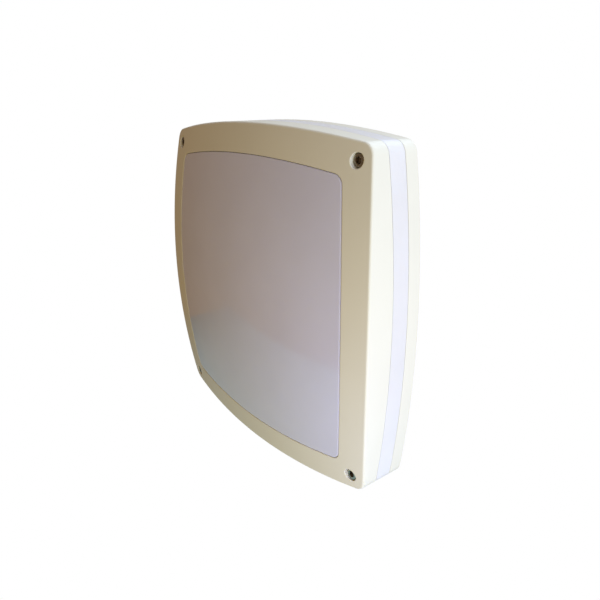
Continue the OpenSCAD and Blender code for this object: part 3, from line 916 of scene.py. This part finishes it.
def make_leds():
    """White packages with a round phosphor window in each."""
    skin = Skin()
    low, high = node_mm("led_chips")
    bottom, top = low[DEPTH], high[DEPTH]
    way = directions(24)
    # the package's rectangle, sampled at the circles' angles
    rim = way / np.max(np.abs(way) / (np.array(LED_SIZE) / 2), axis=1, keepdims=True)
    places = (np.arange(LED_COUNT) - (LED_COUNT - 1) / 2) * LED_PITCH
    for across in places:
        for up in places:
            at = np.array([across, up])
            package = [
                at_depth(at + rim * 0.97, bottom),
                at_depth(at + rim, bottom + 0.05),
                at_depth(at + rim, top - 0.08),
                at_depth(at + rim * 0.96, top),
                at_depth(at + way * WELL_R, top),
            ]
            floor = at_depth(at + way * WELL_FLOOR_R, top - WELL_DEEP)
            glass = at_depth(at + way * PHOSPHOR_R, top - PHOSPHOR_DEEP)
            foot, edge = skin.loft(package, PACKAGE)
            skin.add_face(foot, PACKAGE)
            _, well = skin.loft([floor], PACKAGE, start=edge)
            _, glass_edge = skin.loft([glass], PHOSPHOR, start=well)
            skin.fan(glass_edge, (*at, top - MIDDLE_DEEP), PHOSPHOR)
    package = plastic("led_package", (0.84, 0.83, 0.79), 0.42)
    phosphor = plastic("led_phosphor", (0.85, 0.62, 0.10), 0.25)
    return skin.build("led_packages", "base", [package, phosphor])


leds = make_leds()
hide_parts("led_chips")

# ---------------------------------------------------------------- inner gear: CAD nodes

# copper tracks on the LED board: width, distance of the side tracks, and half their height
TRACK, TRACK_END, TRACK_HALF = 2.0, 76.0, 70.7


def solder_mask(name, color):
    """White lacquer over raised copper tracks: one along each LED row, one down each side."""
    look = Look(name, color, 0.3)
    pitch, width = LED_PITCH / MM_PER_M, TRACK / MM_PER_M
    end, half = TRACK_END / MM_PER_M, TRACK_HALF / MM_PER_M
    place = look.split(look.place)
    across = look.math("ABSOLUTE", place["X"])
    up = place["Z"]
    from_row = look.math("PINGPONG", look.math("ADD", up, pitch / 2), pitch / 2)
    row = look.math("LESS_THAN", from_row, width / 2)
    row = look.math("MULTIPLY", row, look.math("LESS_THAN", across, end))
    from_side = look.math("ABSOLUTE", look.math("SUBTRACT", across, end))
    side = look.math("LESS_THAN", from_side, width / 2)
    side = look.math("MULTIPLY", side, look.math("LESS_THAN", look.math("ABSOLUTE", up), half))
    track = look.math("MAXIMUM", row, side)
    look.tones(track, (0.0, 1.0), (1.0, 0.90))
    look.vary_rough(look.noise(scale=90, detail=4, rough=0.55), 0.24, 0.36)
    look.bump(track, strength=0.8, height=0.00004)
    look.bump(look.noise(scale=1300, detail=2, rough=0.5), strength=0.25, height=0.00001)
    return look.material


def two_tone(name, color, stripe):
    """Insulation with a second colour along one flank."""
    look = Look(name, color, 0.35)
    normal = look.split(look.node("ShaderNodeTexCoord").outputs["Normal"])
    flank = look.math("ADD", normal["X"], normal["Z"])
    look.colors(flank, (0.40, color), (0.46, stripe))
    return moulded(look, 0.3, 0.42)


ZINC_NODES = (
    "cable_clamp_screws",
    "terminal_screws",
    "driver_screws",
    "tray_screws",
    "led_board_screws",
)
SEAL_NODES = ("perimeter_gasket", *(f"screw_seal_{i}" for i in range(1, 5)))
NODE_LOOKS = (
    (metal("zinc_plated_steel", (0.62, 0.62, 0.60), 0.32), ZINC_NODES),
    (
        paint("white_coated_steel", (0.82, 0.82, 0.81), (0.35, 0.48), 1200, 0.00002),
        ("gear_tray", "driver_case", "driver_cover"),
    ),
    (metal("brass_parts", (0.70, 0.52, 0.22), 0.28), ("terminal_bars", "earth_screw")),
    (metal("tinned_copper", (0.72, 0.71, 0.68), 0.35), ("earth_lug",)),
    (plastic("silicone_seal", (0.62, 0.62, 0.60), 0.55), SEAL_NODES),
    (
        plastic("black_rubber", (0.025, 0.025, 0.025), 0.62),
        ("wall_screw_seals", "cable_grommet", "tray_grommet"),
    ),
    (
        plastic("white_nylon", (0.80, 0.80, 0.76), 0.38),
        ("cable_clamp", "terminal_block", "led_connector"),
    ),
    (solder_mask("white_solder_mask", (0.86, 0.87, 0.86)), ("led_board",)),
    (plastic("green_solder_mask", (0.03, 0.20, 0.09), 0.3), ("driver_board",)),
    (plastic("yellow_tape", (0.72, 0.52, 0.07), 0.35), ("driver_transformer",)),
    (plastic("capacitor_sleeve", (0.03, 0.035, 0.06), 0.28), ("driver_capacitors",)),
    (plastic("dark_moulding", (0.05, 0.05, 0.055), 0.45), ("driver_small_parts",)),
    (plastic("brown_insulation", (0.13, 0.05, 0.025), 0.35), ("wire_live",)),
    (plastic("blue_insulation", (0.02, 0.09, 0.40), 0.35), ("wire_neutral",)),
    (plastic("red_insulation", (0.48, 0.02, 0.015), 0.35), ("wire_led_plus",)),
    (plastic("black_insulation", (0.02, 0.02, 0.02), 0.35), ("wire_led_minus",)),
    (
        two_tone("earth_insulation", (0.06, 0.32, 0.05), (0.80, 0.66, 0.05)),
        ("wire_earth",),
    ),
)
for material, names in NODE_LOOKS:
    for name in names:
        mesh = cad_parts[name].data
        if not mesh.materials:
            mesh.materials.append(material)
        for slot in range(len(mesh.materials)):
            mesh.materials[slot] = material

# ---------------------------------------------------------------- stage, lights and camera

WHITE = (1, 1, 1)
RAYS = ("camera", "diffuse", "glossy", "transmission", "volume_scatter", "shadow")
# just under the standing lamp, in metres
FLOOR = -HALF / MM_PER_M - 0.0005

scene = bpy.context.scene
scene.view_settings.view_transform = "Standard"
scene.view_settings.look = "None"


def glow(name, color):
    material = bpy.data.materials.new(name)
    material.use_nodes = True
    tree = material.node_tree
    tree.nodes.clear()
    light = tree.nodes.new("ShaderNodeEmission")
    set_inputs(light, Color=(*color, 1), Strength=1.0)
    out = tree.nodes.new("ShaderNodeOutputMaterial")
    tree.links.new(light.outputs["Emission"], out.inputs["Surface"])
    return material


def fade_across(material, start, end, start_strength):
    """Lets a glowing sheet grow evenly to full strength between two places across the lamp."""
    tree = material.node_tree
    place = tree.nodes.new("ShaderNodeTexCoord")
    split = tree.nodes.new("ShaderNodeSeparateXYZ")
    ramp = tree.nodes.new("ShaderNodeMapRange")
    set_inputs(ramp, From_Min=start, From_Max=end, To_Min=start_strength, To_Max=1.0)
    tree.links.new(place.outputs["Object"], split.inputs[0])
    tree.links.new(split.outputs["X"], ramp.inputs["Value"])
    tree.links.new(ramp.outputs["Result"], tree.nodes["Emission"].inputs["Strength"])


def card(name, x, y, material, seen_by):
    """Flat sheet at floor level that only one kind of ray sees."""
    mesh = bpy.data.meshes.new(name)
    corners = [(x[0], y[0]), (x[1], y[0]), (x[1], y[1]), (x[0], y[1])]
    mesh.from_pydata([(*corner, FLOOR) for corner in corners], [], [(0, 1, 2, 3)])
    mesh.materials.append(material)
    sheet = bpy.data.objects.new(name, mesh)
    for ray in RAYS:
        setattr(sheet, f"visible_{ray}", ray == seen_by)
    scene.collection.objects.link(sheet)


def room(seen_color, light_color):
    """World that the camera sees in one colour and the object is lit by in another."""
    world = bpy.data.worlds.new("studio")
    scene.world = world
    world.use_nodes = True
    tree = world.node_tree
    tree.nodes.clear()
    mix = tree.nodes.new("ShaderNodeMixShader")
    for slot, color in ((1, light_color), (2, seen_color)):
        background = tree.nodes.new("ShaderNodeBackground")
        set_inputs(background, Color=(*color, 1))
        tree.links.new(background.outputs["Background"], mix.inputs[slot])
    path = tree.nodes.new("ShaderNodeLightPath")
    tree.links.new(path.outputs["Is Camera Ray"], mix.inputs[0])
    out = tree.nodes.new("ShaderNodeOutputWorld")
    tree.links.new(mix.outputs["Shader"], out.inputs["Surface"])


# The white floor would swamp the soft light on the front, so it is drawn but gives no light.
card("floor", (-3, 3), (-3, 3), glow("pale_floor", WHITE), "camera")
# The edge of a white table top shows faintly in the gloss of the domed front.
table_white = glow("table_white", (0.55, 0.85, 0.95))
fade_across(table_white, start=-0.34, end=0.05, start_strength=0.2)
card("table_top", (-0.34, 0.22), (-0.24, 0.3), table_white, "glossy")
room(WHITE, (0.262, 0.18, 0.12))

# Places and sides are in metres and power is in watts. A light that the gloss doesn't show would
# be a bright square in the front, as seen from low down or from the side.
SoftLight = namedtuple("SoftLight", "name place target side power color in_gloss")
SOFT_LIGHTS = (
    SoftLight("key", (1.3, 0.05, 0.35), (0.1, 0, 0), 1.0, 21.4, (0.635, 0.762, 0.985), False),
    SoftLight("top", (-0.05, 0.45, 1.2), (0, 0, 0), 1.0, 13.4, (0.63, 0.79, 1.0), True),
    SoftLight("back", (-0.9, 1.1, -0.15), (0, 0, 0), 0.6, 9, (1.0, 0.92, 0.80), True),
    SoftLight("low_fill", (0.36, -0.42, -0.18), (0.13, 0, -0.12), 0.2, 0.68, (1.0, 1.0, 0.30), False),
    SoftLight("low_right", (0.3, -0.2, -0.15), (0.14, -0.03, -0.11), 0.15, 0.35, (0.4, 0.46, 1.0), False),
)


def add_soft_light(soft):
    data = bpy.data.lights.new(soft.name, "AREA")
    data.size = soft.side
    data.energy = soft.power
    data.color = soft.color
    light = bpy.data.objects.new(soft.name, data)
    light.location = soft.place
    aim = Vector(soft.target) - Vector(soft.place)
    light.rotation_euler = aim.to_track_quat("-Z", "Y").to_euler()
    light.visible_camera = False
    light.visible_glossy = soft.in_gloss
    scene.collection.objects.link(light)


for soft in SOFT_LIGHTS:
    add_soft_light(soft)

# The camera stands at the front right and above the lamp; its place is in metres.
AZIMUTH, ELEVATION, ROLL = 51.97, 19.38, 0.66
CAMERA_AT = (0.4172, -0.3244, 0.1675)
lens = bpy.data.cameras.new("camera")
lens.lens = 34.4
lens.clip_start = 0.01
lens.clip_end = 50
camera = bpy.data.objects.new("camera", lens)
camera.matrix_world = (
    Matrix.Translation(CAMERA_AT)
    @ Matrix.Rotation(math.radians(AZIMUTH), 4, "Z")
    @ Matrix.Rotation(math.radians(90 - ELEVATION), 4, "X")
    @ Matrix.Rotation(math.radians(-ROLL), 4, "Z")
)
scene.collection.objects.link(camera)
scene.camera = camera

bpy.context.view_layer.update()
